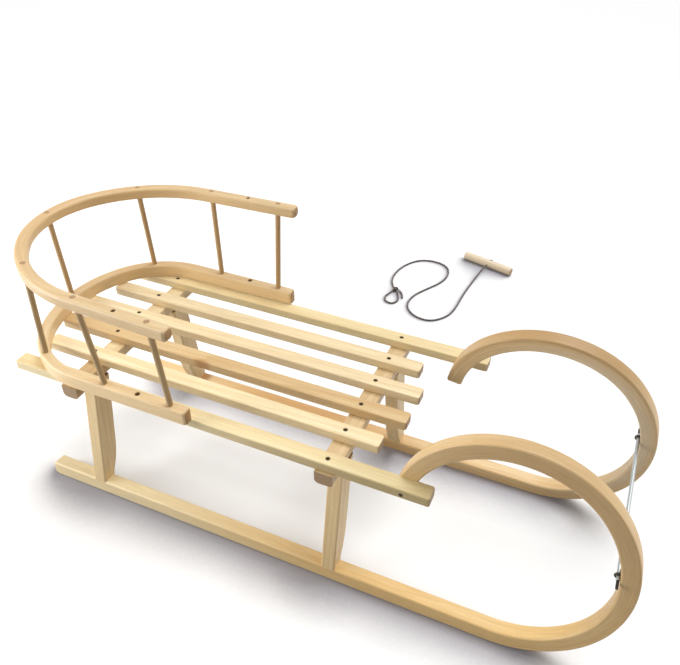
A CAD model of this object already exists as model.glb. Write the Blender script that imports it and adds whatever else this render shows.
"""Looks of a wooden horn sled with a spindle backrest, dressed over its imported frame.

The scene is in metres, +X forward, +Y to the sled's left, +Z up, and the sub-assemblies' sizes are
in millimetres. Every new piece is a grid worked out with numpy: a rounded section carried along a
bent centre line, or a profile turned about an axis.
"""

import logging
import math
from dataclasses import dataclass, replace
from enum import Enum

import bpy
import numpy as np
from bpy.types import Material, NodeSocket, NodeTree, Object
from mathutils import Matrix, Vector


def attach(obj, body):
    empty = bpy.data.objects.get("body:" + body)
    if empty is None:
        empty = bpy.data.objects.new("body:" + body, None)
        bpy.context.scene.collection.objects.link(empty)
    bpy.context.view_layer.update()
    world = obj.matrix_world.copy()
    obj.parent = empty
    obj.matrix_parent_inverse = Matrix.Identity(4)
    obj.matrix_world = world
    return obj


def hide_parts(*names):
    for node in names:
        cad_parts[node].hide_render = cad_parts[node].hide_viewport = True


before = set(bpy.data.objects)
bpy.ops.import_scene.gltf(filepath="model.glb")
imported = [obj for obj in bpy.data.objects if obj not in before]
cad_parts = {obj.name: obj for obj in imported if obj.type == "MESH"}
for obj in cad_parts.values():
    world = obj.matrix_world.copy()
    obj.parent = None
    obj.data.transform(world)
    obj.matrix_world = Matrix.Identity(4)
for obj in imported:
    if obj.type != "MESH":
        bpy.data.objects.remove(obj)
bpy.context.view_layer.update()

Pair = tuple[float, float]
Triple = tuple[float, float, float]

LOG = logging.getLogger("sled")
MM = 0.001
QUARTER = math.pi / 2
CIRCLE = 2 * math.pi
UP: Triple = (0.0, 0.0, 1.0)
# The legs lean inwards by 157 in 1000.
LEG_LEAN = math.atan(0.157)
# One strand of the cord's braid goes once around in this length.
STRAND_TURN = 7.0 * MM
# Blender's ring texture repeats after this length over its scale, in metres.
RING_PERIOD = 0.314


# ---------------------------------------------------------------- colour and node helpers


def linear(hex_colour: str) -> tuple[float, float, float, float]:
    """Turn an sRGB hex colour into the linear one that shaders take.

    Args:
        hex_colour: Six hex digits after a #.

    Returns:
        Red, green, blue and an alpha of 1.
    """
    parts = [int(hex_colour[i : i + 2], 16) / 255.0 for i in (1, 3, 5)]
    red, green, blue = [c / 12.92 if c <= 0.04045 else ((c + 0.055) / 1.055) ** 2.4 for c in parts]
    return red, green, blue, 1.0


def add(
    tree: NodeTree, kind: str, inputs: dict | tuple = (), out: str | None = None, **settings: object
) -> NodeSocket | None:
    """Add a node with its settings, its input values and its links.

    Args:
        tree: The material's or world's node tree.
        kind: The node's type, without the words ShaderNode.
        inputs: Values, or the sockets that feed them: by input name or number, or in order.
        out: The output to hand back, where it isn't the first one in use.
        **settings: The node's own properties.

    Returns:
        The output's socket, or nothing for a node that has none.
    """
    node = tree.nodes.new("ShaderNode" + kind)
    for key, value in settings.items():
        setattr(node, key, value)
    for key, value in inputs.items() if isinstance(inputs, dict) else enumerate(inputs):
        if isinstance(value, NodeSocket):
            tree.links.new(value, node.inputs[key])
        else:
            node.inputs[key].default_value = value
    return node.outputs[out] if out else next((s for s in node.outputs if s.enabled), None)


def layered(tree: NodeTree, base: str, *layers: tuple[NodeSocket, str]) -> NodeSocket:
    """Lay colours over a base colour, each by its own share.

    Args:
        tree: The material's node tree.
        base: The base's hex colour.
        *layers: Socket of the share, and hex colour, of each layer.

    Returns:
        The colour's socket.
    """
    tone = linear(base)
    for share, colour in layers:
        tone = add(tree, "Mix", {0: share, 6: tone, 7: linear(colour)}, data_type="RGBA")
    return tone


def streaks(
    tree: NodeTree, place: NodeSocket, waves: Pair, detail: float, out: str = "Fac"
) -> NodeSocket:
    """Lay noise that is drawn out along the grain.

    Args:
        tree: The material's node tree.
        place: Place in the plank, with X along the grain.
        waves: Waves a metre, along the grain and across it.
        detail: How many finer layers the noise has.
        out: The noise's output to hand back.

    Returns:
        The noise's socket.
    """
    stretch = (waves[0], waves[1], waves[1])
    stretched = add(tree, "VectorMath", (place, stretch), operation="MULTIPLY")
    return add(tree, "TexNoise", {"Vector": stretched, "Scale": 1.0, "Detail": detail}, out)


def new_material(name: str) -> tuple[Material, NodeTree]:
    """Make an empty node material.

    Args:
        name: The material's name.

    Returns:
        The material and its node tree.
    """
    material = bpy.data.materials.new(name)
    material.use_nodes = True
    material.node_tree.nodes.clear()
    return material, material.node_tree


# ---------------------------------------------------------------- finishes


class Grain(Enum):
    """Where a wood finish finds the direction of the grain: an attribute, or a turn in radians."""

    FOLLOWS_BAR = "the piece's own grain attribute"
    ALONG_Y = (0.0, 0.0, -QUARTER)
    UP_LEG_RIGHT = (LEG_LEAN, QUARTER, 0.0)
    UP_LEG_LEFT = (-LEG_LEAN, QUARTER, 0.0)


@dataclass(frozen=True)
class Patch:
    """A stretch of darker or paler wood, or a knot, in one bar.

    Its middle and reach run along the bar and across it, in metres, and share is how strongly its
    colour covers the wood at its middle.
    """

    middle: Pair
    reach: Pair
    share: float
    colour: str

    def over(self, tree: NodeTree, place: NodeSocket, tone: NodeSocket) -> NodeSocket:
        """Lay the patch over a wood's colour, fading out in an ellipse.

        Args:
            tree: The wood's node tree.
            place: Distances along and across the bar.
            tone: The colour so far.

        Returns:
            The colour with the patch.
        """
        grow = (1.0 / self.reach[0], 1.0 / self.reach[1], 0.0)
        shift = (-self.middle[0] * grow[0], -self.middle[1] * grow[1], 0.0)
        local = add(tree, "VectorMath", (place, grow, shift), operation="MULTIPLY_ADD")
        away = add(tree, "VectorMath", (local,), "Value", operation="LENGTH")
        fade = (away, 0.25, 1.0, self.share, 0.0)
        share = add(tree, "MapRange", fade, interpolation_type="SMOOTHSTEP")
        return add(tree, "Mix", {0: share, 6: tone, 7: linear(self.colour)}, data_type="RGBA")


@dataclass(frozen=True)
class LacqueredWood:
    """Sawn and sanded beech or ash under a thin satin lacquer.

    The eye sees pale wood with soft lengthwise streaks, fine growth lines that run the length of
    each bar, short ray flecks, and ends that have drunk the lacquer and turned brown.
    """

    name: str
    early: str
    late: str
    streak: str
    end: str
    figure: float = 0.5
    ring_mm: float = 3.4
    fleck: float = 0.25
    roughness: float = 0.46
    patches: tuple[Patch, ...] = ()
    drift: Triple = (0.0, 0.018, 0.012)

    @staticmethod
    def laid(tree: NodeTree, grain: Grain) -> tuple[NodeSocket, NodeSocket]:
        """Find the place in the bar, with X along the grain, and where its end grain shows.

        Args:
            tree: The wood's node tree.
            grain: Where the grain's direction comes from.

        Returns:
            The place, and 1 on end grain.
        """
        if grain is Grain.FOLLOWS_BAR:
            along = add(tree, "Attribute", out="Vector", attribute_name="grain")
            return along, add(tree, "Attribute", out="Fac", attribute_name="end_grain")
        place = add(tree, "TexCoord", out="Object")
        along = add(tree, "Mapping", {"Vector": place, "Rotation": grain.value})
        normal = {"Vector": place.node.outputs["Normal"], "Rotation": grain.value}
        facing = add(tree, "SeparateXYZ", (add(tree, "Mapping", normal, vector_type="NORMAL"),))
        size = add(tree, "Math", (facing,), operation="ABSOLUTE")
        return along, add(tree, "MapRange", (size, 0.75, 0.92))

    def material(self, tag: str, seed: Triple, grain: Grain = Grain.FOLLOWS_BAR) -> Material:
        """Build the material for one piece, cut from its own place in the plank.

        Args:
            tag: Ending of the material's name.
            seed: Offset of the cut in metres: along, across and through the plank.
            grain: Where the grain's direction comes from.

        Returns:
            The material.
        """
        material, tree = new_material(f"{self.name}_{tag}")
        along, end = self.laid(tree, grain)
        # The cut drifts a little off the grain, so growth lines taper along the bar.
        cut = add(tree, "Mapping", {"Vector": along, "Location": seed, "Rotation": self.drift})
        # Slow waver of the fibres: waves 0.3 m long and 30 mm wide, up to about 2 mm.
        waver = streaks(tree, cut, (3.2, 32.0), 1.0, "Color")
        centred = add(tree, "VectorMath", (waver, (0.5, 0.5, 0.5)), operation="SUBTRACT")
        sway = (centred, (0.0, 0.006, 0.006), cut)
        bent = add(tree, "VectorMath", sway, operation="MULTIPLY_ADD")
        # Growth lines: rings about an axis that lies beside the bar.
        rings = add(
            tree,
            "TexWave",
            {"Vector": bent, "Scale": RING_PERIOD / (self.ring_mm * MM), "Distortion": 0.0},
            "Fac",
            wave_type="RINGS",
            rings_direction="X",
            wave_profile="SAW",
        )
        line = add(tree, "MapRange", (rings, 0.35, 1.0, 0.0, self.figure))
        # Broad streaks 0.6 m long and 12 mm wide.
        broad = streaks(tree, bent, (1.6, 85.0), 3.0)
        band = add(tree, "MapRange", (broad, 0.38, 0.72, 0.0, 0.85))
        # Fibres are drawn about 1.5 mm wide, coarser than real ones, so that they show.
        fibre = streaks(tree, cut, (22.0, 700.0), 2.0)
        # Ray flecks: brown dashes about 5 mm long and 1 mm wide.
        rays = streaks(tree, cut, (210.0, 1350.0), 0.0)
        dash = add(tree, "MapRange", (rays, 0.62, 0.78, 0.0, self.fleck))
        tone = layered(tree, self.early, (line, self.late), (band, self.streak), (dash, self.end))
        for patch in self.patches:
            tone = patch.over(tree, along, tone)
        shade = add(tree, "MapRange", (fibre, 0.3, 0.7, 0.90, 1.06))
        tone = add(tree, "VectorMath", {0: tone, 3: shade}, operation="SCALE")
        # Sawn across, the growth rings show as darker arcs.
        arcs = add(tree, "MapRange", (rings, 0.2, 1.0, 1.12, 0.74))
        across = add(tree, "VectorMath", {0: linear(self.end)[:3], 3: arcs}, operation="SCALE")
        tone = add(tree, "Mix", {0: end, 6: tone, 7: across}, data_type="RGBA")
        dull, sleek = self.roughness + 0.06, self.roughness - 0.05
        relief = add(tree, "Math", (fibre, line), operation="SUBTRACT")
        skin = {
            "Base Color": tone,
            "Roughness": add(tree, "MapRange", (fibre, 0.3, 0.7, dull, sleek)),
            "Normal": add(tree, "Bump", {"Height": relief, "Strength": 0.25, "Distance": 0.00025}),
            "IOR": 1.5,
            "Coat Weight": 0.12,
            "Coat Roughness": 0.3,
        }
        add(tree, "OutputMaterial", (add(tree, "BsdfPrincipled", skin),))
        return material


@dataclass(frozen=True)
class PlatedSteel:
    """Drawn steel with a zinc or oxide skin: softly mirrored, with dull spots."""

    name: str
    bright: str
    dull: str
    roughness: float = 0.32
    metallic: float = 1.0

    def material(self) -> Material:
        """Build the material from Object coordinates, with spots about 2 mm wide.

        Returns:
            The material.
        """
        material, tree = new_material(self.name)
        place = add(tree, "TexCoord", out="Object")
        noise = {"Vector": place, "Scale": 420.0, "Detail": 3.0, "Roughness": 0.6}
        spots = add(tree, "TexNoise", noise)
        gloss = (spots, 0.3, 0.7, self.roughness - 0.06, self.roughness + 0.12)
        skin = {
            "Base Color": layered(tree, self.bright, (spots, self.dull)),
            "Metallic": self.metallic,
            "Roughness": add(tree, "MapRange", gloss),
            "Normal": add(tree, "Bump", {"Height": spots, "Strength": 0.15, "Distance": 0.0002}),
        }
        add(tree, "OutputMaterial", (add(tree, "BsdfPrincipled", skin),))
        return material


@dataclass(frozen=True)
class BraidedCord:
    """Braided polypropylene cord: dark strands on the slant, with white and orange flecks."""

    name: str
    dark: str
    deep: str
    white: str
    orange: str

    def material(self) -> Material:
        """Build the material on the cord's own UV map: U once around, V in metres along.

        Returns:
            The material.
        """
        material, tree = new_material(self.name)
        around = add(tree, "SeparateXYZ", (add(tree, "UVMap", uv_map="UVMap"),))
        along = around.node.outputs["Y"]

        def slant(climb: float, strands: float, width: float, shift: float) -> NodeSocket:
            """Mask of slanting strands: 1 inside a strand, 0 outside it.

            Args:
                climb: Strand turns in one turn of the braid, signed by the way it slants.
                strands: How many strands go around.
                width: Share of the spacing that a strand takes.
                shift: Phase of the strands.

            Returns:
                The mask's socket.
            """
            rise = (along, climb / STRAND_TURN, shift)
            rise = add(tree, "Math", rise, operation="MULTIPLY_ADD")
            phase = add(tree, "Math", (around, strands, rise), operation="MULTIPLY_ADD")
            turn = add(tree, "Math", (phase,), operation="FRACT")
            return add(tree, "Math", (turn, width), operation="LESS_THAN")

        white = (slant(1.0, 1.0, 0.2, 0.1), slant(-3.0, 3.0, 0.55, 0.3))
        orange = (slant(-0.8, 1.0, 0.17, 0.6), slant(3.0, 3.0, 0.5, 0.0))
        tone = layered(
            tree,
            self.dark,
            (slant(4.0, 4.0, 0.5, 0.0), self.deep),
            (add(tree, "Math", white, operation="MULTIPLY"), self.white),
            (add(tree, "Math", orange, operation="MULTIPLY"), self.orange),
        )
        skin = {"Base Color": tone, "Roughness": 0.62, "IOR": 1.49}
        add(tree, "OutputMaterial", (add(tree, "BsdfPrincipled", skin),))
        return material


# Steam-bent beech: warm and even, with fine growth lines that follow the bend.
BENT_BEECH = LacqueredWood(
    "beech_steam_bent_lacquered", "#e8cb98", "#d6ae74", "#dab37b", "#a8845b", 0.45, 3.6, 0.2
)
HOOP_BEECH = LacqueredWood(
    "beech_hoop_lacquered", "#e2c89b", "#cda976", "#d3b080", "#aa8352", 0.5, 3.0, 0.2
)
# Sawn ash of the seat: paler and yellower, with broader growth lines. One slat is heartwood.
SLAT_ASH = LacqueredWood(
    "ash_slat_sawn_lacquered", "#f7e6bd", "#e6c791", "#ecd09b", "#96754e", 0.5, 4.2, 0.12
)
SLAT_PALE = LacqueredWood(
    "ash_slat_pale_lacquered", "#f6e2b8", "#e3c592", "#e4c797", "#96754e", 0.5, 3.4, 0.12
)
SLAT_TAN = LacqueredWood(
    "ash_slat_tan_lacquered", "#e2c796", "#c9a067", "#cda66f", "#8f683c", 0.6, 4.6, 0.18
)
RAIL_ASH = LacqueredWood(
    "ash_rail_sawn_lacquered", "#f1dfb0", "#e0c48c", "#e5ca94", "#967650", 0.45, 3.8, 0.12
)
# Sawn beech of the crossbars and legs, and turned beech: brown spindles and a pale, drier handle.
BAR_BEECH = LacqueredWood(
    "beech_bar_sawn_lacquered", "#dcc295", "#c9a674", "#cfae7d", "#9c7d58", 0.4, 3.2, 0.25
)
LEG_BEECH = LacqueredWood(
    "beech_leg_sawn_lacquered", "#efd5a4", "#dab581", "#e0be88", "#a98a62", 0.4, 3.2, 0.2
)
SPINDLE_BEECH = LacqueredWood(
    "beech_spindle_lacquered", "#cba97a", "#ad895a", "#b59061", "#a9865c", 0.5, 2.0, 0.3
)
HANDLE_BEECH = LacqueredWood(
    "beech_handle_turned", "#ecd9bd", "#d9bd95", "#dfc8a4", "#cdb08a", 0.4, 2.6, 0.5, 0.55
)
# Steel: pale zinc on the rod, dark oxide on the staples, and browned or blackened skins, only
# partly metallic, on the screws and on the rod's ends.
STAPLE_STEEL = PlatedSteel("steel_wire_oxidised", "#5f594e", "#35312a", 0.42)
ROD_STEEL = PlatedSteel("steel_rod_zinc_plated", "#c4c8c8", "#9ea3a4", 0.38)
SCREW_STEEL = PlatedSteel("steel_screw_browned", "#4e4029", "#2b2316", 0.5, 0.6)
ROD_END_STEEL = PlatedSteel("steel_rod_end_blackened", "#4a463e", "#2c2a26", 0.5, 0.7)
CORD = BraidedCord("polypropylene_braided_cord", "#1d211c", "#0d100e", "#d9d8cf", "#b5683c")


# ---------------------------------------------------------------- meshes


def unit(vectors: np.ndarray) -> np.ndarray:
    """Vectors scaled to length 1 along their last axis."""
    return vectors / np.maximum(np.linalg.norm(vectors, axis=-1, keepdims=True), 1e-9)


def turned(heading: np.ndarray) -> np.ndarray:
    """Unit vectors of headings in radians, as an array of pairs."""
    return np.stack([np.cos(heading), np.sin(heading)], -1)


def gridded(*parts: np.ndarray) -> np.ndarray:
    """Parts spread over their common grid: one line of numbers a point, row by row."""
    return np.stack(np.broadcast_arrays(*parts), -1).reshape(-1, len(parts))


def new_object(name: str, data: bpy.types.ID) -> Object:
    """Make an object at the origin and put it in the scene.

    Args:
        name: The object's name.
        data: Its mesh, lamp or camera.

    Returns:
        The object.
    """
    made = bpy.data.objects.new(name, data)
    bpy.context.scene.collection.objects.link(made)
    return made


@dataclass
class Surface:
    """Faces of one piece, and arrays of its points and of what each point carries."""

    faces: list[list[int]]
    points: np.ndarray
    normals: np.ndarray
    grain: np.ndarray
    end_grain: np.ndarray
    uv: np.ndarray

    @classmethod
    def closed(
        cls,
        points: np.ndarray,
        normals: np.ndarray,
        grain: np.ndarray,
        end_grain: np.ndarray,
        uv: np.ndarray,
        inverted: bool = False,
    ) -> "Surface":
        """Close a grid of points into a skin: quads round its rows, and a cap at each end.

        Args:
            points: Grid of points in metres, one row a section.
            normals: Grid of their outward normals.
            grain: Each point's place in the wood.
            end_grain: 1 where the wood is cut across.
            uv: Each point's place on the UV map.
            inverted: Whether the rows run the other way round.

        Returns:
            The surface.
        """
        rows, columns = points.shape[:2]
        ring = np.arange(columns)
        row = np.arange(rows - 1)[:, None] * columns
        near, far = row + ring, row + (ring + 1) % columns
        quads = np.stack([near, far, far + columns, near + columns], -1).reshape(-1, 4).tolist()
        faces = [*quads, ring[::-1].tolist(), (ring + (rows - 1) * columns).tolist()]
        if inverted:
            faces = [face[::-1] for face in faces]
        return cls(faces, points.reshape(-1, 3), normals.reshape(-1, 3), grain, end_grain, uv)

    def arrays(self) -> tuple[np.ndarray, ...]:
        """The points and what they carry, in the order of the fields."""
        return self.points, self.normals, self.grain, self.end_grain, self.uv

    @classmethod
    def joined(cls, parts: list["Surface"]) -> "Surface":
        """Put several surfaces into one piece.

        Args:
            parts: The surfaces.

        Returns:
            One surface that holds them all.
        """
        starts = np.cumsum([0] + [len(p.points) for p in parts]).tolist()
        faces = [[i + start for i in f] for p, start in zip(parts, starts) for f in p.faces]
        return cls(faces, *map(np.concatenate, zip(*(p.arrays() for p in parts))))

    def mirrored(self) -> "Surface":
        """Mirror the surface to the sled's other side, with its faces turned to keep pointing out.

        Returns:
            The mirrored surface.
        """
        flip = np.array([1.0, -1.0, 1.0])
        faces = [face[::-1] for face in self.faces]
        return replace(self, faces=faces, points=self.points * flip, normals=self.normals * flip)

    def build(self, name: str, material: Material, slot: str, *nodes: str) -> Object:
        """Make the Blender piece, riding on the sled's one body.

        Args:
            name: The piece's name.
            material: Its material.
            slot: The record's material slot it takes its finish from.
            *nodes: The frame's nodes that it stands for.

        Returns:
            The object.
        """
        mesh = bpy.data.meshes.new(name)
        mesh.from_pydata(self.points, [], self.faces)
        mesh.polygons.foreach_set("use_smooth", np.ones(len(mesh.polygons), bool))
        loops = np.empty(len(mesh.loops), np.int32)
        mesh.loops.foreach_get("vertex_index", loops)
        uv_map = mesh.uv_layers.new(name="UVMap")
        uv_map.data.foreach_set("uv", self.uv[loops].astype(np.float32).ravel())
        # Each layer is filled before the next one is made, because a new layer moves the others.
        for label, kind, key, values in (
            ("grain", "FLOAT_VECTOR", "vector", self.grain),
            ("end_grain", "FLOAT", "value", self.end_grain),
        ):
            layer = mesh.attributes.new(label, kind, "POINT")
            layer.data.foreach_set(key, values.astype(np.float32).ravel())
        mesh.materials.append(material)
        mesh.update()
        mesh.normals_split_custom_set_from_vertices(self.normals.astype(float))
        piece = new_object(name, mesh)
        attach(piece, "root")
        if nodes:
            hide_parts(*nodes)
        stands_for = ", ".join(nodes) or "no node"
        LOG.info("%s: %d faces, stands for %s", name, len(self.faces), stands_for)
        return piece


def arc(radius: float, degrees: float) -> Pair:
    """A run of a centre line that turns left: its length and its radius."""
    return radius * math.radians(degrees), radius


@dataclass
class CentreLine:
    """Straight runs and arcs that follow each other without a kink, in one plane.

    A run is its length and its radius, which is infinite where it is straight.
    """

    start: Pair
    heading: float
    runs: list[Pair]

    @staticmethod
    def moved(heading: np.ndarray, radius: np.ndarray, gone: np.ndarray) -> np.ndarray:
        """How far points move along a run from where it starts.

        Straight, a point moves by the distance along the heading. On an arc the heading grows by
        distance over radius, and the point moves by the radius times the left-hand vector of the
        first heading less that of the new one.

        Args:
            heading: Headings at the start, in radians.
            radius: Radii of the runs.
            gone: Distances along them.

        Returns:
            The moves, as pairs.
        """
        straight = np.isinf(radius)
        safe = np.where(straight, 1.0, radius)[:, None]
        swing = turned(heading + QUARTER) - turned(heading + gone / radius + QUARTER)
        return np.where(straight[:, None], gone[:, None] * turned(heading), safe * swing)

    def at(self, s: np.ndarray) -> tuple[np.ndarray, np.ndarray]:
        """Points and headings at distances along the line; each run starts where the last ends.

        Args:
            s: Distances from the start.

        Returns:
            The points and the headings in radians.
        """
        length, radius = np.array(self.runs).T
        begins = np.concatenate([[0.0], np.cumsum(length)])
        heading = math.radians(self.heading) + np.concatenate([[0.0], np.cumsum(length / radius)])
        moves = np.cumsum(self.moved(heading[:-1], radius, length), axis=0)
        points = np.array(self.start) + np.concatenate([[(0.0, 0.0)], moves])
        run = np.clip(np.searchsorted(begins, s, side="right") - 1, 0, len(self.runs) - 1)
        gone = s - begins[run]
        placed = points[run] + self.moved(heading[run], radius[run], gone)
        return placed, heading[run] + gone / radius[run]

    def length(self) -> float:
        """Whole length of the line."""
        return sum(length for length, _ in self.runs)


# A rounded edge takes at most this share of the bar's room.
EDGE_SHARE = 0.49
# Width of a dimple's wall, as a share of its radius.
DIMPLE_WALL = 0.22
# Where a bar's normal leans along it more than this, or a dimple is deeper, the end grain shows.
END_LEAN, END_DEPTH = 1.2, 0.5
# A lathe's profile shows end grain where it widens more than this for each unit of height.
END_SLOPE = 1.5


@dataclass
class Dimple:
    """A countersunk hole in the middle of a bar's top face: its place, radius and depth."""

    along: float
    radius: float
    depth: float


@dataclass
class Bar:
    """A rounded rectangular section carried along a centre line, with rounded ends.

    The section spans low to high to the left of the line (across) and bottom to top square to its
    plane (height). The edges are the radii of its lower and upper long edges, and the end radii are
    those of the low and high corners at the start and at the end, seen from above.
    """

    line: CentreLine
    across: Pair
    height: Pair
    edges: Pair
    end_radii: tuple[float, float, float, float]
    origin: Triple = (0.0, 0.0, 0.0)
    z_dir: Triple = UP
    step: float = 6.0
    dimples: tuple[Dimple, ...] = ()

    def stations(self) -> np.ndarray:
        """Place the sections: in even steps, and closer at the rounded ends and the dimples.

        Returns:
            Their distances along the line.
        """
        total = self.line.length()
        ease = 1 - np.cos(np.linspace(0.0, QUARTER, 9))
        first = [r * ease for r in (*self.end_radii[:2], self.edges[1])]
        last = [total - r * ease for r in (*self.end_radii[2:], self.edges[1])]
        near = [d.along + np.linspace(-1.3, 1.3, 27) * d.radius for d in self.dimples]
        even = np.linspace(0.0, total, max(3, int(total / self.step)))
        found = np.unique(np.round(np.concatenate([even, *first, *last, *near]), 3))
        return found[(found >= 0) & (found <= total)]

    def drawn_in(self, s: np.ndarray, first: float, last: float) -> tuple[np.ndarray, np.ndarray]:
        """How far the rounded corners at both ends draw a side in, and the slope of that.

        At a distance d from its end, a corner of radius r takes r less the root of r squared less
        (r less d) squared, and nothing past r.

        Args:
            s: Distances along the line.
            first: The corner's radius at the start.
            last: The corner's radius at the end.

        Returns:
            The insets, and their change for each unit of distance.
        """
        inset, slope = np.zeros_like(s), np.zeros_like(s)
        ends = ((first, s, 1.0), (last, self.line.length() - s, -1.0))
        for radius, distance, sense in ends:
            rest = np.clip(radius - distance, 0.0, radius)
            root = np.sqrt(np.maximum(radius**2 - rest**2, 1e-9))
            inset += radius - root
            slope -= sense * rest / root
        return inset[:, None], slope[:, None]

    def section(self, s: np.ndarray) -> tuple[np.ndarray, ...]:
        """Work out the section at each station: four quarter circles joined by flats.

        Near an end its sides are drawn in by the end's corner radii, and a point's outward normal
        leans back along the line by the slope of that inset.

        Args:
            s: Distances along the line.

        Returns:
            Grids of places across and up, rows of the normal's shares of both, and its lean.
        """
        (low, high), (bottom, top), (lower_r, upper_r) = self.across, self.height, self.edges
        low_in, low_slope = self.drawn_in(s, self.end_radii[0], self.end_radii[2])
        high_in, high_slope = self.drawn_in(s, self.end_radii[1], self.end_radii[3])
        edge_in, edge_slope = self.drawn_in(s, upper_r, upper_r)
        low, high = low + low_in, high - high_in
        bottom, top = bottom + edge_in * (lower_r / upper_r), top - edge_in
        room = EDGE_SHARE * np.minimum(high - low, top - bottom)
        corners = (
            (high, 1, top, 1, upper_r),
            (low, -1, top, 1, upper_r),
            (low, -1, bottom, -1, lower_r),
            (high, 1, bottom, -1, lower_r),
        )
        blocks = []
        for index, (wall_n, side_n, wall_t, side_t, full) in enumerate(corners):
            radius = np.minimum(full, room)
            angle = index * QUARTER + np.linspace(0.0, QUARTER, 7)
            shares = np.cos(angle), np.sin(angle)
            n = wall_n - side_n * radius + radius * shares[0]
            t = wall_t - side_t * radius + radius * shares[1]
            blocks.append((n, t, *shares))
            if index == 0 and self.dimples:
                # The top face has its own columns, closest together over the dimples.
                even = np.linspace(-1.0, 1.0, 37)[1:-1]
                share = (np.sign(even) * np.abs(even) ** 1.5 + 1) / 2
                n = high - radius + (low + 2 * radius - high) * share
                blocks.append((n, top + 0.0 * n, np.zeros_like(share), np.ones_like(share)))
        n, t, e_n, e_t = (np.concatenate(part, axis=-1) for part in zip(*blocks))
        lean = e_n**2 * np.where(e_n > 0, high_slope, low_slope) + e_t**2 * edge_slope
        return n, t, e_n[None], e_t[None], lean

    def surface(self) -> Surface:
        """Work out the bar's grid: one row a station, one column a point of the section.

        A dimple drops the top face by its depth, over the width of its wall, and there the normal
        is square to the grid's own steps.

        Returns:
            The surface, in metres.
        """
        s = self.stations()
        n, t, e_n, e_t, lean = self.section(s)
        drop = np.zeros_like(n)
        for dimple in self.dimples:
            reach = np.hypot(s[:, None] - dimple.along, n) / dimple.radius
            wall = dimple.depth * np.clip((1.0 - reach) / DIMPLE_WALL, 0.0, 1.0)
            drop = np.maximum(drop, np.where(e_t > 0.99, wall, 0.0))
        t = t - drop
        middle, heading = self.line.at(s)
        across, forward = turned(heading + QUARTER)[:, None], turned(heading)[:, None]
        z_dir = np.array(self.z_dir)
        plane = np.array([(1.0, 0.0, 0.0), np.cross(z_dir, (1.0, 0.0, 0.0))])
        points = (middle[:, None] + across * n[..., None]) @ plane + t[..., None] * z_dir
        points += self.origin
        out = (across * e_n[..., None] + forward * lean[..., None]) @ plane + e_t[..., None] * z_dir
        if self.dimples:
            square = np.cross(np.gradient(points, axis=1), np.gradient(points, axis=0))
            outward = np.sign(np.sum(square * out, -1, keepdims=True))
            out = np.where((drop > 0)[..., None], square * outward, out)
        end = np.maximum(np.abs(lean) > END_LEAN, drop > END_DEPTH).astype(float).ravel()
        columns = n.shape[1]
        uv = gridded(s[:, None] * MM, np.arange(columns) / columns)
        return Surface.closed(points * MM, unit(out), gridded(s[:, None], n, t) * MM, end, uv)


def lathe(
    foot: np.ndarray, axis: np.ndarray, height: list[float], radius: list[float], around: int = 24
) -> Surface:
    """Turn a profile about an axis.

    A point is foot plus height times the axis plus radius times the circle's unit vector. The
    normal is square to the profile: the circle's vector times the change in height, less the axis
    times the change in radius.

    Args:
        foot: Where the axis starts, in millimetres.
        axis: Direction of the axis.
        height: Heights of the profile's points.
        radius: Radii of the profile's points.
        around: Number of points round the circle.

    Returns:
        The surface, closed at both ends, in metres.
    """
    axis = unit(np.array(axis, float))
    side = unit(np.cross(axis, (0.0, 1.0, 0.0) if abs(axis[1]) < 0.9 else (1.0, 0.0, 0.0)))
    angle = np.linspace(0.0, CIRCLE, around, endpoint=False)
    circle = turned(angle) @ np.array([side, np.cross(axis, side)])
    height, radius = np.array(height, float)[:, None], np.array(radius, float)[:, None]
    points = foot + height[..., None] * axis + radius[..., None] * circle
    d_height, d_radius = np.gradient(height, axis=0), np.gradient(radius, axis=0)
    normals = unit(d_height[..., None] * circle - d_radius[..., None] * axis)
    normals[0], normals[-1] = -axis, axis
    grain = gridded(height, radius * np.cos(angle), radius * np.sin(angle)) * MM
    end = np.repeat(np.abs(d_radius) > END_SLOPE * np.abs(d_height), around).astype(float)
    return Surface.closed(points * MM, normals, grain, end, gridded(angle / CIRCLE, height * MM))


def tube(path: np.ndarray, radius: float, around: int, ridge: float) -> Surface:
    """Carry a braided round section along a path that lies roughly flat.

    The section's radius is the given one less a ridge depth times the product of two slanting
    waves, so that the strands stand up between small hollows.

    Args:
        path: Points in metres.
        radius: The outer radius in metres.
        around: Points round the section.
        ridge: Depth of the hollows in metres.

    Returns:
        The surface, closed at both ends.
    """
    forward = unit(np.gradient(path, axis=0))
    side = unit(np.cross(forward, UP))
    up = np.cross(side, forward)
    steps = np.linalg.norm(np.diff(path, axis=0), axis=1)
    gone = np.concatenate([[0.0], np.cumsum(steps)])[:, None]
    angle = np.linspace(0.0, CIRCLE, around, endpoint=False)
    out = turned(angle) @ np.stack([side, up], 1)
    phase = gone / STRAND_TURN * CIRCLE
    wave = np.sin(4 * (angle + phase)) * np.sin(4 * (angle - phase))
    reach = radius - ridge * (0.5 + 0.5 * wave)
    points = path[:, None] + out * reach[..., None]
    bare = np.zeros((points[..., 0].size, 3))
    return Surface.closed(points, out, bare, bare[:, 0], gridded(angle / CIRCLE, gone), True)


# ---------------------------------------------------------------- the sled's sub-assemblies


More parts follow.
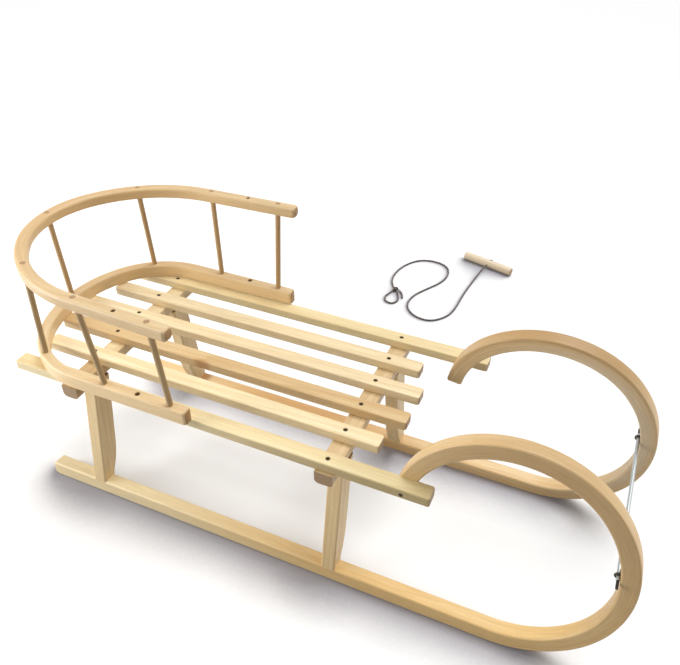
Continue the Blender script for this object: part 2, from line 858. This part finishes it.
@dataclass(frozen=True)
class ScrewHead:
    """A countersunk or domed screw head with a cross recess, turned as a polar grid.

    The cross has arms twice slot_half wide that reach slot_reach from the middle, and its walls
    and ends slope over the two eases.
    """

    radius: float = 3.8
    dome: float = 0.35
    recess: float = 0.9
    slot_half: float = 0.62
    slot_reach: float = 2.1
    wall_ease: float = 0.25
    end_ease: float = 0.4
    skirt: float = 1.4
    rings: int = 12
    around: int = 32

    def arm(self, narrow: np.ndarray, long: np.ndarray) -> np.ndarray:
        """One arm of the cross: 1 in its middle, easing to 0 at its sides and ends."""
        walls = np.clip((self.slot_half - np.abs(narrow)) / self.wall_ease, 0, 1)
        return walls * np.clip((self.slot_reach - np.abs(long)) / self.end_ease, 0, 1)

    def surface(self, centre: Triple, axis: Triple) -> Surface:
        """Work out the head.

        The height over the polar grid is the dome times one less the share of the radius squared,
        less the recess where the point lies within the cross. A last ring drops by the skirt.

        Args:
            centre: Middle of the head's seat, in millimetres.
            axis: The way it faces.

        Returns:
            The head's surface.
        """
        z = np.array(axis, float)
        x = unit(np.cross(z, UP if abs(z[2]) < 0.9 else (0.0, 1.0, 0.0)))
        share = np.linspace(0.02, 1.0, self.rings)[:, None]
        angle = np.linspace(0.0, CIRCLE, self.around, endpoint=False)
        u, v = share * self.radius * np.cos(angle), share * self.radius * np.sin(angle)
        cross = np.maximum(self.arm(u, v), self.arm(v, u))
        height = self.dome * (1 - share**2) - self.recess * cross
        local = np.stack([u, v, height], -1)
        rim = local[-1:] * (1.0, 1.0, 0.0) - (0.0, 0.0, self.skirt)
        points = np.array(centre) + np.concatenate([local, rim]) @ np.array([x, np.cross(z, x), z])
        around = np.roll(points, -1, 1) - np.roll(points, 1, 1)
        normals = unit(np.cross(np.gradient(points, axis=0), around))
        flat = points.reshape(-1, 3) * MM
        bare = np.zeros(len(flat))
        return Surface.closed(points * MM, normals, flat, bare, flat[:, :2], True)


@dataclass
class Runners:
    """The two runners, each one bent bar that curls up into a horn and leans inwards."""

    depth: float = 28.0
    width: float = 28.0
    rear_x: float = -515.5
    bend_x: float = 373.0
    sole_outer_y: float = 184.7
    cant: float = math.atan(0.10)
    bends: tuple[Pair, ...] = ((189.0, 69.0), (217.0, 61.0), (186.0, 98.0), (173.0, 34.5))
    edge: float = 4.0
    ends: tuple[float, float, float, float] = (11.0, 5.0, 5.0, 5.0)
    # The right runner is palest at its heel, golden further on and browner in its horn. The left
    # one is brown under the seat, with one knot, and its horn is pale inside and brown outside.
    pale_heel: tuple[Patch, ...] = (
        Patch((0.10, 0.0), (0.62, 0.12), 0.75, "#f6e3b6"),
        Patch((1.38, 0.014), (0.40, 0.10), 0.4, "#b08a58"),
        Patch((0.78, 0.0), (0.62, 0.12), 0.35, "#ecbf6c"),
    )
    brown_heart: tuple[Patch, ...] = (
        Patch((0.40, 0.014), (0.34, 0.06), 0.75, "#bd8742"),
        Patch((0.135, 0.026), (0.022, 0.012), 0.8, "#9a6128"),
        Patch((1.30, 0.020), (0.45, 0.018), 0.5, "#ecdcc2"),
        Patch((1.48, -0.003), (0.34, 0.012), 0.75, "#a57d48"),
    )

    def surface(self) -> Surface:
        """Work out the right runner: its bar, with the sole planed level at the ground.

        Returns:
            The runner's surface.
        """
        runs = [(self.bend_x - self.rear_x, math.inf), *(arc(*bend) for bend in self.bends)]
        made = Bar(
            CentreLine((self.rear_x, 0.0), 0.0, runs),
            (0.0, self.depth),
            (-self.width, 0.0),
            (self.edge, self.edge),
            self.ends,
            origin=(0.0, -self.sole_outer_y, 0.0),
            z_dir=(0.0, -math.cos(self.cant), math.sin(self.cant)),
        ).surface()
        below = made.points[:, 2] < 1e-6
        made.points[below, 2] = 0.0
        made.normals[below] = (0.0, 0.0, -1.0)
        return made

    def build(self) -> None:
        """Build both runners."""
        right = self.surface()
        for side, made, patches, seed in (
            ("right", right, self.pale_heel, (0.31, 0.052, 0.031)),
            ("left", right.mirrored(), self.brown_heart, (1.87, 0.061, -0.044)),
        ):
            wood = replace(BENT_BEECH, patches=patches).material(f"runner_{side}", seed)
            made.build(f"runner_{side}_horn", wood, "bent_beech", f"runner_{side}")


@dataclass(frozen=True)
class Plank:
    """One straight bar of the seat, with its place in the sawn board."""

    name: str
    y: float
    rear_x: float
    front_x: float
    corner: float
    finish: LacqueredWood
    seed: Triple


@dataclass
class Seat:
    """Two side rails and four slats, screwed down on the crossbars."""

    top_z: float = 289.0
    thickness: float = 16.5
    width: float = 28.5
    edges: Pair = (0.5, 2.5)
    rail_y: float = 168.0
    outer_y: float = 99.6
    inner_y: float = 33.2
    # Rear end, front end and radius of the end corners.
    rail: Triple = (-525.5, 256.0, 4.0)
    outer: Triple = (-513.0, 150.0, 5.0)
    inner: Triple = (-535.0, 172.0, 5.0)
    screw_x: Pair = (87.0, -413.0)
    hole_radius: float = 4.2
    hole_depth: float = 2.4
    head: ScrewHead = ScrewHead()
    head_below: float = 1.3
    # The screw in a rail's outer side that holds the horn: its station, and how far below the top.
    horn_head: ScrewHead = ScrewHead(3.6, 1.1, 0.8)
    horn_screw: Pair = (211.5, 10.0)
    # The right rail is browner along its outer side, and khaki towards its front end. The slat
    # beside the middle has one small knot in its side.
    edge_heart: tuple[Patch, ...] = (
        Patch((0.80, 0.0), (0.24, 0.05), 0.6, "#c0ad7a"),
        Patch((0.66, -0.0175), (0.42, 0.0075), 0.75, "#a58c58"),
    )
    knot: tuple[Patch, ...] = (Patch((0.317, -0.0155), (0.024, 0.010), 0.75, "#ab7636"),)

    def planks(self) -> tuple[Plank, ...]:
        """Lay out the bars: the right and left rail, and the slats from right to left.

        Returns:
            The six bars.
        """
        y, outer_y, inner_y = self.rail_y, self.outer_y, self.inner_y
        hearted = replace(RAIL_ASH, patches=self.edge_heart)
        knotted = replace(SLAT_TAN, patches=self.knot)
        return (
            Plank("rail_right", -y, *self.rail, hearted, (0.0, 0.047, 0.035)),
            Plank("rail_left", y, *self.rail, RAIL_ASH, (2.4, 0.063, -0.028)),
            Plank("slat_right_outer", -outer_y, *self.outer, SLAT_ASH, (4.1, 0.071, 0.022)),
            Plank("slat_right_inner", -inner_y, *self.inner, knotted, (5.3, 0.034, 0.041)),
            Plank("slat_left_inner", inner_y, *self.inner, SLAT_PALE, (7.7, 0.058, -0.037)),
            Plank("slat_left_outer", outer_y, *self.outer, SLAT_PALE, (9.2, 0.044, 0.053)),
        )

    def build(self) -> None:
        """Build the bars with their countersunk screws, and the screws that hold the horns."""
        heads = []
        half, seat_z = self.width / 2, self.top_z - self.head_below
        for plank in self.planks():
            rear = plank.rear_x
            made = Bar(
                CentreLine((rear, plank.y), 0.0, [(plank.front_x - rear, math.inf)]),
                (-half, half),
                (self.top_z - self.thickness, self.top_z),
                self.edges,
                (plank.corner,) * 4,
                step=20.0,
                dimples=tuple(
                    Dimple(x - rear, self.hole_radius, self.hole_depth) for x in self.screw_x
                ),
            ).surface()
            wood = plank.finish.material(plank.name, plank.seed)
            made.build(f"{plank.name}_plank", wood, "seat_wood", plank.name)
            heads += [self.head.surface((x, plank.y, seat_z), UP) for x in self.screw_x]
        horn_x, below = self.horn_screw
        for side in (-1, 1):
            centre = (horn_x, side * (self.rail_y + half), self.top_z - below)
            heads.append(self.horn_head.surface(centre, (0, side, 0)))
        Surface.joined(heads).build("seat_screws", SCREW_STEEL.material(), "steel")


@dataclass(frozen=True)
class Hoop:
    """One bent hoop of the backrest: two arms, two corner bends and the bend round the back.

    Half_front is half the width between the arms' ends. Slant and corner are in degrees. The edges
    are the radii of the lower and upper long edges, and end is that of the ends' corners.
    """

    front_x: float
    half_front: float
    slant: float
    bend_x: float
    corner: float
    rear_x: float
    width: float
    height: Pair
    edges: Pair
    end: float
    bolt_x: float
    hole_radius: float
    head: ScrewHead
    head_below: float
    hole_depth: float = 5.0

    def line(self) -> CentreLine:
        """Centre line from the left arm round the back to the right arm.

        The corner radius and the back radius are the two that take up both the depth and the half
        width between the end of the arm and the rearmost point.

        Returns:
            The line.
        """
        slant, mid = math.radians(self.slant), math.radians(self.slant + self.corner)
        arm = (self.front_x - self.bend_x) / math.cos(slant)
        half = self.half_front - arm * math.sin(slant)
        system = [
            [math.sin(mid) - math.sin(slant), 1.0 - math.sin(mid)],
            [math.cos(slant) - math.cos(mid), math.cos(mid)],
        ]
        corner_r, back_r = np.linalg.solve(system, [self.bend_x - self.rear_x, half])
        straight, corner = (arm, math.inf), arc(float(corner_r), self.corner)
        back = arc(float(back_r), 2 * (90.0 - self.slant - self.corner))
        start = (self.front_x, self.half_front)
        return CentreLine(start, 180.0 + self.slant, [straight, corner, back, corner, straight])

    def half_width(self, x: float) -> float:
        """Find the half width of the centre line at a station, on its left half.

        Args:
            x: The station.

        Returns:
            The half width there.
        """
        line = self.line()
        points, _ = line.at(np.linspace(0.0, line.length() / 2, 4000))
        return float(np.interp(-x, -points[:, 0], points[:, 1]))

    def surface(self) -> Surface:
        """Work out the hoop, with a bolt hole in each arm.

        Returns:
            The hoop's surface.
        """
        line, half = self.line(), self.width / 2
        along = (self.front_x - self.bolt_x) / math.cos(math.radians(self.slant))
        places = (along, line.length() - along)
        holes = tuple(Dimple(place, self.hole_radius, self.hole_depth) for place in places)
        ends = (self.end,) * 4
        return Bar(line, (-half, half), self.height, self.edges, ends, dimples=holes).surface()

    def screw(self, side: float) -> Surface:
        """Screw head in the bolt hole of the left arm, side 1, or of the right one, side -1."""
        place = (self.bolt_x, side * self.half_width(self.bolt_x), self.height[1] - self.head_below)
        return self.head.surface(place, UP)


LOWER_HOOP = Hoop(
    front_x=-151.0,
    half_front=188.0,
    slant=0.0,
    bend_x=-378.5,
    corner=60.0,
    rear_x=-543.5,
    width=20.0,
    height=(289.0, 316.0),
    edges=(1.5, 5.0),
    end=6.0,
    bolt_x=-248.5,
    hole_radius=4.8,
    head=ScrewHead(3.9, 0.2, 0.7),
    head_below=3.8,
)
UPPER_HOOP = Hoop(
    front_x=-146.0,
    half_front=206.5,
    slant=2.6,
    bend_x=-336.0,
    corner=55.0,
    rear_x=-552.5,
    width=22.0,
    height=(472.0, 493.7),
    edges=(6.0, 6.0),
    end=7.0,
    bolt_x=-246.5,
    hole_radius=3.9,
    head=ScrewHead(3.0, 0.2, 0.7),
    head_below=3.7,
)


@dataclass
class Backrest:
    """Two bent hoops joined by seven spindles, with the screws and dowel ends that show."""

    lower: Hoop = LOWER_HOOP
    upper: Hoop = UPPER_HOOP
    dowel_proud: float = 0.3
    # Names of the side spindles, with their stations on the lower and on the upper hoop.
    stations: tuple[tuple[str, float, float], ...] = (
        ("front", -184.0, -184.5),
        ("middle", -315.0, -325.0),
        ("rear", -463.5, -465.0),
    )

    def hoops(self) -> None:
        """Build both hoops.

        The lower one is paler down both sides, where the bend was sanded back. The upper one is
        golden round the back and paler inside it.
        """
        back = self.upper.line().length() / 2 * MM
        sanded = [Patch((0.5, y), (2.0, 0.0055), 0.7, "#f7d8a4") for y in (-0.0115, 0.0115)]
        lower_tones = (Patch((0.38, 0.0), (0.26, 0.08), 0.25, "#d6a25e"), *sanded)
        upper_tones = (
            Patch((back, 0.0), (0.40, 0.08), 0.3, "#cf9c5c"),
            Patch((back - 0.08, 0.0125), (0.50, 0.007), 0.7, "#f2cd94"),
        )
        for name, hoop, patches, seed in (
            ("lower", self.lower, lower_tones, (0.6, 0.049, 0.036)),
            ("upper", self.upper, upper_tones, (3.1, 0.057, -0.033)),
        ):
            wood = replace(HOOP_BEECH, patches=patches).material(name, seed)
            hoop.surface().build(f"hoop_{name}_bent", wood, "bent_beech", f"hoop_{name}")

    @staticmethod
    def spindle(low: np.ndarray, high: np.ndarray) -> Surface:
        """Work out one spindle: a plain shaft with eased shoulders, and its dowel end on top.

        Args:
            low: Where it leaves the lower hoop.
            high: Middle of its end on the upper hoop's top.

        Returns:
            The spindle's surface.
        """
        reach = float(np.linalg.norm(high - low))
        height = [-6.0, -1.0, 0.0, 1.5, 40.0, 80.0, 120.0, reach - 24.0, reach - 23.0, reach - 12.0]
        shaft = lathe(low, high - low, height, [4.9, 4.9, 4.95, 5, 5, 5, 5, 5, 4.95, 4.9])
        rise, radius = [-3.0, -0.45, -0.25, -0.08, -0.02, 0.0], [5.0, 5.0, 4.8, 4.2, 2.5, 0.3]
        cap = lathe(high, np.array(UP), rise, radius)
        cap.end_grain[:] = 1.0
        return Surface.joined([shaft, cap])

    def build(self) -> None:
        """Build the hoops, the spindles and the screws in the bolt holes."""
        self.hoops()
        places = [("back", (self.lower.rear_x, 0.0), (self.upper.rear_x, 0.0))]
        for side_name, side in (("right", -1.0), ("left", 1.0)):
            for name, low_x, high_x in self.stations:
                low = (low_x, side * self.lower.half_width(low_x))
                high = (high_x, side * self.upper.half_width(high_x))
                places.append((f"{side_name}_{name}", low, high))
        low_z, high_z = self.lower.height[1], self.upper.height[1] + self.dowel_proud
        for index, (name, low, high) in enumerate(places):
            wood = SPINDLE_BEECH
            if name.startswith("right"):
                wood = replace(wood, early="#b99a6b", late="#967748", streak="#9e8154")
            wood = wood.material(name, (1.3 * index, 0.021, 0.017))
            made = self.spindle(np.array([*low, low_z]), np.array([*high, high_z]))
            made.build(f"spindle_{name}_turned", wood, "spindle_wood", f"spindle_{name}")
        heads = [hoop.screw(side) for side in (-1.0, 1.0) for hoop in (self.lower, self.upper)]
        Surface.joined(heads).build("backrest_screws", SCREW_STEEL.material(), "steel")


@dataclass
class Undercarriage:
    """Crossbars, legs and staples, which keep the frame's own shape, and the pull rod."""

    rod_x: float = 530.79
    rod_z: float = 223.0
    rod_half: float = 172.4
    pin_length: float = 15.0
    legs: tuple[str, ...] = ("front_right", "rear_right", "front_left", "rear_left")

    def build(self) -> None:
        """Give each node its finish."""
        self.dress("crossbar_front", BAR_BEECH.material("front", (0.4, 0.05, 0.03), Grain.ALONG_Y))
        # The rear bar is pale in the middle, and brown towards its right end.
        brown_end = (Patch((-0.17, 0.0), (0.12, 5.0), 0.6, "#b98e58"),)
        rear = replace(BAR_BEECH, early="#f2dcb0", late="#e3c491", patches=brown_end)
        self.dress("crossbar_rear", rear.material("rear", (2.2, 0.045, -0.04), Grain.ALONG_Y))
        for index, leg in enumerate(self.legs):
            grain = Grain.UP_LEG_RIGHT if "right" in leg else Grain.UP_LEG_LEFT
            seed = (0.9 * index, 0.04 + 0.006 * index, 0.05)
            self.dress(f"leg_{leg}", LEG_BEECH.material(f"leg_{leg}", seed, grain))
        steel = STAPLE_STEEL.material()
        for name in ("staple_right", "staple_left"):
            self.dress(name, steel)
        self.rod()

    def rod(self) -> None:
        """Build the pull rod, and the thinner dark pin that it is turned down to at each end."""
        half, pin = self.rod_half, self.pin_length
        reach = half - pin
        along_y = np.array([0.0, 1.0, 0.0])
        ease, swell = np.array([0.0, 0.3, 0.9, 1.6]), [2.3, 2.7, 2.92, 3.0]
        height = [*ease, reach, *(2 * reach - ease[::-1])]
        foot = np.array([self.rod_x, -reach, self.rod_z])
        shaft = lathe(foot, along_y, height, [*swell, 3.0, *swell[::-1]])
        shaft.build("pull_rod_drawn", ROD_STEEL.material(), "steel", "pull_rod")
        rise = [0.0, 0.15, 0.6, 1.4, 4.0, pin - 3.0, pin - 1.0, pin + 1.5]
        radius = [0.4, 1.1, 1.8, 2.15, 2.2, 2.2, 2.2, 2.2]
        ends = [
            lathe(np.array([self.rod_x, side * half, self.rod_z]), -side * along_y, rise, radius)
            for side in (-1.0, 1.0)
        ]
        Surface.joined(ends).build("pull_rod_pins", ROD_END_STEEL.material(), "steel")

    @staticmethod
    def dress(name: str, material: Material) -> None:
        """Give a frame node its material.

        Args:
            name: The node's name.
            material: Its new material.
        """
        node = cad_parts[name]
        node.data.materials.clear()
        node.data.materials.append(material)
        LOG.info("%s: frame node in %s", name, material.name)


@dataclass
class PullCord:
    """The loose pull cord on the ground, with its turned handle and its two knots."""

    radius: float = 2.0
    origin: Pair = (-10.0, 800.0)
    turn: float = 0.409
    knot_r: float = 6.0
    handle_r: float = 11.0
    handle_length: float = 150.0
    ridge: float = 0.22
    knot_ridge: float = 0.15
    # Thickness of the cord in a knot, at most, as a share of the knot's radius.
    tight: float = 0.28
    resolution: int = 40
    # Across, away and height of the cord's centre, from the stop knot to the loop's knot.
    route: tuple[Triple, ...] = (
        (163.0, 114.6, 11.0),
        (136.0, 80.4, 11.0),
        (113.0, 46.0, 3.0),
        (94.0, 12.0, 2.0),
        (73.0, -26.0, 2.0),
        (52.0, -69.0, 2.0),
        (32.0, -114.0, 2.0),
        (5.0, -154.0, 2.0),
        (-44.0, -176.0, 2.0),
        (-87.0, -149.0, 2.0),
        (-101.0, -102.0, 2.0),
        (-79.0, -55.0, 2.0),
        (-38.0, -22.0, 2.0),
        (5.0, 9.0, 2.0),
        (33.0, 50.0, 2.0),
        (36.0, 96.0, 2.0),
        (3.0, 127.0, 2.0),
        (-45.0, 134.0, 2.0),
        (-91.0, 104.0, 2.0),
        (-121.0, 61.0, 2.0),
        (-134.0, 17.0, 2.0),
        (-127.0, -24.0, 2.0),
        (-139.0, -40.0, 2.0),
        (-156.0, -58.0, 2.0),
        (-157.0, -82.0, 2.0),
        (-138.0, -95.0, 2.0),
        (-121.0, -81.0, 2.0),
        (-119.0, -56.0, 2.0),
        (-122.0, -33.0, 2.0),
    )
    tail: tuple[Triple, ...] = (
        (-121.0, -27.0, 6.0),
        (-111.0, -37.0, 3.0),
        (-107.0, -52.0, 2.0),
        (-109.0, -68.0, 2.0),
    )
    # Middle of the loop's knot, and the radius of the ball that it fills.
    loop_knot: Triple = (-124.5, -29.0, 6.7)
    loop_knot_r: float = 7.5

    def placed(self, points: np.ndarray) -> np.ndarray:
        """Turn points of the layout by its turn and move them to its origin.

        Args:
            points: Points across, away and up in the layout, in millimetres.

        Returns:
            The points in the sled's frame, in millimetres.
        """
        c, s = math.cos(self.turn), math.sin(self.turn)
        x = self.origin[0] + points[..., 0] * c - points[..., 1] * s
        y = self.origin[1] + points[..., 0] * s + points[..., 1] * c
        return np.stack([x, y, points[..., 2]], -1)

    def smooth(self, points: tuple[Triple, ...], name: str) -> np.ndarray:
        """Read points off one smooth open spline through the route's control points.

        Args:
            points: The control points in the layout.
            name: Name of the working curve.

        Returns:
            Points along the spline, in metres.
        """
        placed = self.placed(np.array(points)) * MM
        curve = bpy.data.curves.new(name, "CURVE")
        curve.dimensions = "3D"
        curve.resolution_u = self.resolution
        spline = curve.splines.new("NURBS")
        spline.points.add(len(placed) - 1)
        spline.points.foreach_set("co", np.column_stack([placed, np.ones(len(placed))]).ravel())
        spline.order_u = 3
        spline.use_endpoint_u = True
        holder = bpy.data.objects.new(name, curve)
        mesh = bpy.data.meshes.new_from_object(holder)
        found = np.empty(len(mesh.vertices) * 3)
        mesh.vertices.foreach_get("co", found)
        bpy.data.meshes.remove(mesh)
        bpy.data.objects.remove(holder)
        bpy.data.curves.remove(curve)
        return found.reshape(-1, 3)

    def braided(self, path: np.ndarray) -> Surface:
        """Work out the cord's braided tube along a path in metres."""
        return tube(path, self.radius * MM, 16, self.ridge * MM)

    def overhand(self, centre: np.ndarray, size: float) -> Surface:
        """Work out a pulled-up overhand knot: a trefoil line that winds twice round a small ring.

        With t round the ring, the line's distance from the middle is 0.68 + 0.32 cos(1.5 t) and
        its height 0.5 sin(1.5 t), both times the room that the knot's ball leaves beside the cord.
        The cord is drawn in where it is pulled tight, so that it never folds into itself.

        Args:
            centre: Middle of the knot in the sled's frame, in millimetres.
            size: Radius of the ball that it fills.

        Returns:
            The knot's surface.
        """
        thin = min(self.radius, self.tight * size)
        t = np.linspace(0.0, 4 * math.pi, 161)
        reach = 0.68 + 0.32 * np.cos(1.5 * t)
        line = np.stack([reach * np.cos(t), reach * np.sin(t), 0.5 * np.sin(1.5 * t)], -1)
        knot = (centre + (size - thin) * line) * MM
        return tube(knot, thin * MM, 14, self.knot_ridge * MM)

    def handle(self, start: np.ndarray, towards: np.ndarray) -> Object:
        """Build the turned handle, square to the cord just past its stop knot.

        Args:
            start: Middle of the stop knot in the layout.
            towards: The cord's next point.

        Returns:
            The handle.
        """
        heading = unit(towards - start)
        centre = start + heading * (self.handle_r + self.knot_r - 1.0)
        half = np.array([-heading[1], heading[0], 0.0]) * self.handle_length / 2
        foot = self.placed(centre - half)
        ease = np.array([0.0, 0.3, 1.2, 2.6, 8.0, 40.0, 74.0])
        height = [*ease, self.handle_length / 2, *(self.handle_length - ease[::-1])]
        nose = [8.6, 9.6, 10.6]
        radius = [*nose, *[self.handle_r] * 9, *nose[::-1]]
        wood = HANDLE_BEECH.material("handle", (0.2, 0.018, 0.012))
        turned_wood = lathe(foot, self.placed(centre + half) - foot, height, radius, 40)
        return turned_wood.build("handle_turned", wood, "handle_wood", "pull_handle")

    def build(self) -> None:
        braid = CORD.material()
        path = self.smooth(self.route, "cord_route")
        cord = self.braided(path).build("cord_braided", braid, "cord", "pull_cord")
        start, towards = np.array(self.route[:2])
        stop = self.overhand(self.placed(start), self.knot_r)
        stop_piece = stop.build("cord_stop_knot_tied", braid, "cord", "cord_stop_knot")
        loop = self.overhand(self.placed(np.array(self.loop_knot)), self.loop_knot_r)
        loop = Surface.joined([loop, self.braided(self.smooth(self.tail, "tail_route"))])
        loop_piece = loop.build("cord_loop_knot_tied", braid, "cord", "cord_loop_knot")
        handle = self.handle(start, towards)


# ---------------------------------------------------------------- studio


@dataclass
class Studio:
    """Camera at the viewing angle, white floor and plain soft lamps; metres and radians."""

    place: Triple = (0.4043, -0.8565, 1.1067)
    azimuth: float = 0.40907
    elevation: float = 0.64828
    roll: float = 0.007
    focal_px: float = 712.5
    width_px: float = 680.0
    sensor_mm: float = 36.0
    far: float = 60.0
    floor_half: float = 12.0
    floor_z: float = -0.0002
    floor_seen: str = "#ffffff"
    floor_bounce: str = "#918f8d"
    room: float = 0.22
    contact_reach: float = 0.105
    contact_lean: Triple = (0.50, 0.74, 0.46)
    contact_tint: str = "#aaa8af"
    contact_open: Pair = (0.62, 0.985)

    def camera(self) -> None:
        """Make the camera from its azimuth, elevation and roll."""
        a, e, r = self.azimuth, self.elevation, self.roll
        back = Vector((math.sin(a) * math.cos(e), -math.cos(a) * math.cos(e), math.sin(e)))
        right = Vector((math.cos(a), math.sin(a), 0.0))
        up = back.cross(right)
        across = right * math.cos(r) + up * math.sin(r)
        upward = up * math.cos(r) - right * math.sin(r)
        data = bpy.data.cameras.new("camera")
        data.sensor_width = self.sensor_mm
        data.lens = self.sensor_mm * self.focal_px / self.width_px
        data.clip_end = self.far
        camera = new_object("camera", data)
        axes = Matrix((across, upward, back)).transposed()
        camera.matrix_world = Matrix.Translation(self.place) @ axes.to_4x4()
        bpy.context.scene.camera = camera

    @staticmethod
    def lamp(name: str, kind: str, place: Triple, target: Triple, **settings: float) -> None:
        """Add one soft white lamp.

        Args:
            name: The lamp's name.
            kind: AREA, or SUN for a light that is even over the whole floor.
            place: Where it hangs.
            target: What it points at.
            **settings: Its strength, and its side in metres or its spread in radians.
        """
        data = bpy.data.lights.new(name, kind)
        for key, value in settings.items():
            setattr(data, key, value)
        lamp = new_object(name, data)
        lamp.location = place
        lamp.rotation_euler = (Vector(target) - Vector(place)).to_track_quat("-Z", "Y").to_euler()

    @staticmethod
    def seen(tree: NodeTree) -> NodeSocket:
        """Tell the rays that the eye follows: straight, mirrored or through glass.

        Args:
            tree: The floor's or the world's node tree.

        Returns:
            Socket that is 1 for such rays.
        """
        straight = add(tree, "LightPath", out="Is Camera Ray")
        mirrored, through = (
            straight.node.outputs[name] for name in ("Is Glossy Ray", "Is Transmission Ray")
        )
        either = add(tree, "Math", (straight, mirrored), operation="MAXIMUM")
        return add(tree, "Math", (either, through), operation="MAXIMUM")

    def floor(self) -> None:
        """Lay a white floor that shows white in front of the camera and keeps the shadow."""
        mesh = bpy.data.meshes.new("floor")
        signs = ((-1, -1), (1, -1), (1, 1), (-1, 1))
        corners = [(x * self.floor_half, y * self.floor_half, self.floor_z) for x, y in signs]
        mesh.from_pydata(corners, [], [(0, 1, 2, 3)])
        new_object("floor", mesh)
        material, tree = new_material("paper_white_matt")
        # Paper shows less light right beside what stands on it: a soft grey contact shadow, which
        # leans away from the key light. Only the eye's rays see it, so the wood keeps its bounce.
        lean = add(tree, "CombineXYZ", self.contact_lean)
        near = {"Distance": self.contact_reach, "Normal": lean}
        light = add(tree, "AmbientOcclusion", near, "AO", samples=16)
        clear = (light, *self.contact_open, 0.0, 1.0)
        clear = add(tree, "MapRange", clear, interpolation_type="SMOOTHSTEP")
        shown = layered(tree, self.contact_tint, (clear, self.floor_seen))
        tone = {0: self.seen(tree), 6: linear(self.floor_bounce), 7: shown}
        paper = {"Color": add(tree, "Mix", tone, data_type="RGBA")}
        add(tree, "OutputMaterial", (add(tree, "BsdfDiffuse", paper),))
        mesh.materials.append(material)

    def world(self) -> None:
        """Light the room softly, and show plain white behind the floor."""
        world = bpy.data.worlds.new("room")
        bpy.context.scene.world = world
        world.use_nodes = True
        tree = world.node_tree
        tree.nodes.clear()
        strength = add(tree, "MapRange", (self.seen(tree), 0.0, 1.0, self.room, 1.0))
        glow = add(tree, "Background", ((1, 1, 1, 1), strength))
        add(tree, "OutputWorld", (glow,))

    def build(self) -> None:
        """Set up the whole studio."""
        bpy.context.scene.view_settings.view_transform = "Standard"
        self.camera()
        self.floor()
        self.world()
        spread = math.radians(40.0)
        self.lamp("key", "SUN", (0.3, 0.55, 1.6), (0.0, 0.0, 0.0), energy=2.54, angle=spread)
        self.lamp("side", "AREA", (-2.1, -1.2, 0.85), (-0.4, 0.0, 0.15), energy=52.0, size=1.6)
        self.lamp("front", "AREA", (3.0, 0.35, 0.5), (-0.1, 0.0, 0.2), energy=16.0, size=1.2)


def main() -> None:
    """Build the studio, then the cord, then the sled's sub-assemblies."""
    logging.basicConfig(level=logging.INFO, format="%(name)s %(message)s")
    Studio().build()
    for assembly in (PullCord(), Runners(), Seat(), Backrest(), Undercarriage()):
        assembly.build()


if __name__ == "__main__":
    main()
